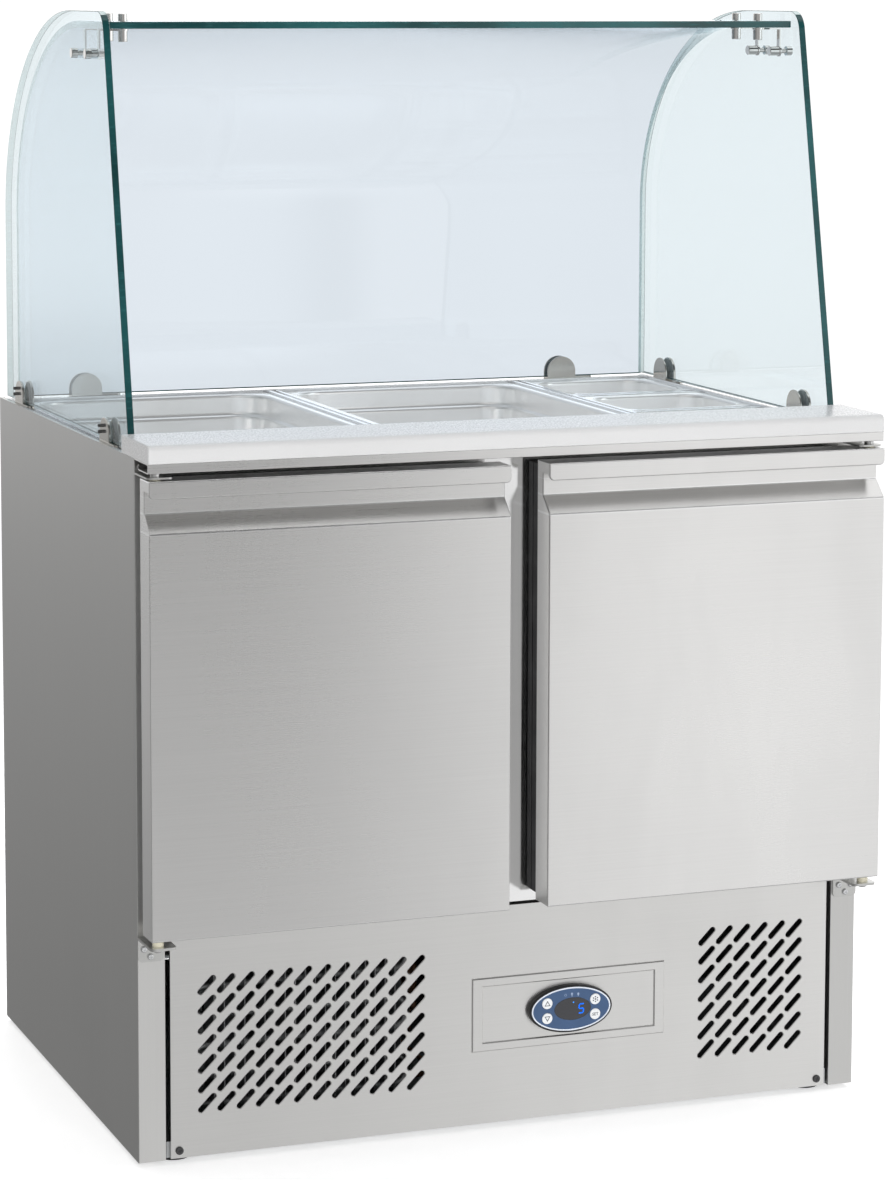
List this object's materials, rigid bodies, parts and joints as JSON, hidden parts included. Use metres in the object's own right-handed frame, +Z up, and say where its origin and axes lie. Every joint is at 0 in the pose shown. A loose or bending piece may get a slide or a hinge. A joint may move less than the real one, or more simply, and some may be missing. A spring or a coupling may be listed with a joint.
{
  "type": "refrigerated saladette",
  "caption": "Low chilled preparation cabinet: hinged doors under a gastronorm pan well, with a cutting board along the front and a bent-glass canopy above.",
  "frame": {"origin": "centre of the footprint, on the floor under the feet", "axes": "+Z up, -Y is the front with the doors, +X is to the right seen from the front"},
  "size_m": [0.9, 0.7, 1.305],
  "materials": {
    "panel_steel": "satin stainless sheet, vertical grain",
    "front_steel": "satin stainless sheet, horizontal grain",
    "grille_steel": "fine satin stainless sheet",
    "mirror_steel": "bright polished stainless",
    "worktop_steel": "bright satin stainless",
    "pan_steel": "bright annealed stainless, soft polish",
    "galvanised": "galvanised sheet",
    "bracket_steel": "plain stainless bracket",
    "bright_screw": "bright zinc screws",
    "dark_screw": "blackened screws",
    "set_screw": "bright grub screws with dark ends",
    "pin_steel": "bright pins",
    "clamp_nickel": "satin nickel plate",
    "glass_clear": "clear float glass with green edges",
    "board_white": "white polyethylene, fine texture",
    "bush_cream": "natural nylon",
    "gasket_grey": "dark grey vinyl",
    "pad_rubber": "clear grey rubber pads",
    "foot_rubber": "black rubber",
    "insulation": "rigid foam",
    "liner_steel": "stainless inner lining",
    "door_liner": "pale moulded plastic",
    "shelf_wire": "grey coated wire",
    "coil_alu": "aluminium fins on copper tube",
    "copper": "copper tube",
    "compressor_black": "black enamel",
    "fan_black": "black moulded plastic",
    "motor_grey": "cast motor shell",
    "ctrl_black": "black ABS",
    "ctrl_window": "smoked window",
    "button_white": "white silicone caps",
    "tray_plastic": "black polypropylene",
    "term_grey": "grey ABS"
  },
  "bodies": {
    "cabinet": {"side_panel_left": "panel_steel", "side_panel_right": "panel_steel", "rear_panel": "galvanised", "rear_vent_cover": "galvanised", "base_tray": "galvanised", "glide_feet": "foot_rubber", "front_frame": "mirror_steel", "inner_liner": "liner_steel", "foam_body": "insulation", "worktop": "worktop_steel", "front_rail": "front_steel", "grille_panel": "grille_steel", "panel_screws": "dark_screw", "controller_body": "ctrl_black", "display_window": "ctrl_window", "hinge_brackets": "bracket_steel", "hinge_screws": "bright_screw", "hinge_pins": "pin_steel", "hinge_bushes": "bush_cream", "divider_bars": "worktop_steel", "short_bars": "worktop_steel", "side_glasses": "glass_clear", "curved_glass": "glass_clear", "glass_clamps": "clamp_nickel", "clamp_pads": "pad_rubber", "clamp_screws": "set_screw", "corner_straps": "clamp_nickel", "corner_standoffs": "clamp_nickel", "wire_shelves": "shelf_wire", "shelf_supports": "liner_steel", "evaporator_cover": "liner_steel", "evaporator_coil": "coil_alu", "condenser_coil": "coil_alu", "condenser_shroud": "galvanised", "fan_motors": "motor_grey", "compressor": "compressor_black", "refrigerant_pipes": "copper", "condensate_tray": "tray_plastic", "terminal_box": "term_grey", "cable_gland": "fan_black"},
    "door_left": {"door_left_skin": "front_steel", "door_left_foam": "insulation", "door_left_liner": "door_liner", "door_left_gasket": "gasket_grey"},
    "door_right": {"door_right_skin": "front_steel", "door_right_foam": "insulation", "door_right_liner": "door_liner", "door_right_gasket": "gasket_grey"},
    "up_button": {"up_button": "button_white"},
    "down_button": {"down_button": "button_white"},
    "aux_button": {"aux_button": "button_white"},
    "set_button": {"set_button": "button_white"},
    "pan_left": {"gn_pan_left": "pan_steel"},
    "pan_middle": {"gn_pan_middle": "pan_steel"},
    "pan_sixth_rear": {"gn_pan_sixth_rear": "pan_steel"},
    "pan_sixth_middle": {"gn_pan_sixth_middle": "pan_steel"},
    "pan_sixth_front": {"gn_pan_sixth_front": "pan_steel"},
    "cutting_board": {"cutting_board": "board_white"},
    "evaporator_fan": {"evaporator_fan": "fan_black"},
    "condenser_fan": {"condenser_fan": "fan_black"}
  },
  "joints": [
    {"name": "door_left_hinge", "type": "hinge", "parent": "cabinet", "child": "door_left", "pos_m": [-0.438, -0.332, 0.53], "axis": [0, 0, -1], "range_deg": [0, 110]},
    {"name": "door_right_hinge", "type": "hinge", "parent": "cabinet", "child": "door_right", "pos_m": [0.438, -0.332, 0.53], "axis": [0, 0, 1], "range_deg": [0, 110]},
    {"name": "up_button_press", "type": "slide", "parent": "cabinet", "child": "up_button", "axis": [0, 1, 0], "range_m": [0, 0.0008], "stiffness_N_per_m": 900, "springref_m": -0.0003},
    {"name": "down_button_press", "type": "slide", "parent": "cabinet", "child": "down_button", "axis": [0, 1, 0], "range_m": [0, 0.0008], "stiffness_N_per_m": 900, "springref_m": -0.0003},
    {"name": "aux_button_press", "type": "slide", "parent": "cabinet", "child": "aux_button", "axis": [0, 1, 0], "range_m": [0, 0.0008], "stiffness_N_per_m": 900, "springref_m": -0.0003},
    {"name": "set_button_press", "type": "slide", "parent": "cabinet", "child": "set_button", "axis": [0, 1, 0], "range_m": [0, 0.0008], "stiffness_N_per_m": 900, "springref_m": -0.0003},
    {"name": "pan_left_lift", "type": "slide", "parent": "cabinet", "child": "pan_left", "axis": [0, 0, 1], "range_m": [0, 0.15]},
    {"name": "pan_middle_lift", "type": "slide", "parent": "cabinet", "child": "pan_middle", "axis": [0, 0, 1], "range_m": [0, 0.15]},
    {"name": "pan_sixth_rear_lift", "type": "slide", "parent": "cabinet", "child": "pan_sixth_rear", "axis": [0, 0, 1], "range_m": [0, 0.15]},
    {"name": "pan_sixth_middle_lift", "type": "slide", "parent": "cabinet", "child": "pan_sixth_middle", "axis": [0, 0, 1], "range_m": [0, 0.15]},
    {"name": "pan_sixth_front_lift", "type": "slide", "parent": "cabinet", "child": "pan_sixth_front", "axis": [0, 0, 1], "range_m": [0, 0.15]},
    {"name": "board_lift", "type": "slide", "parent": "cabinet", "child": "cutting_board", "axis": [0, 0, 1], "range_m": [0, 0.15]},
    {"name": "evaporator_fan_spin", "type": "hinge", "parent": "cabinet", "child": "evaporator_fan", "pos_m": [0, 0.22, 0.53], "axis": [0, 1, 0], "continuous": true},
    {"name": "condenser_fan_spin", "type": "hinge", "parent": "cabinet", "child": "condenser_fan", "pos_m": [-0.242, -0.2, 0.139], "axis": [0, 1, 0], "continuous": true}
  ]
}
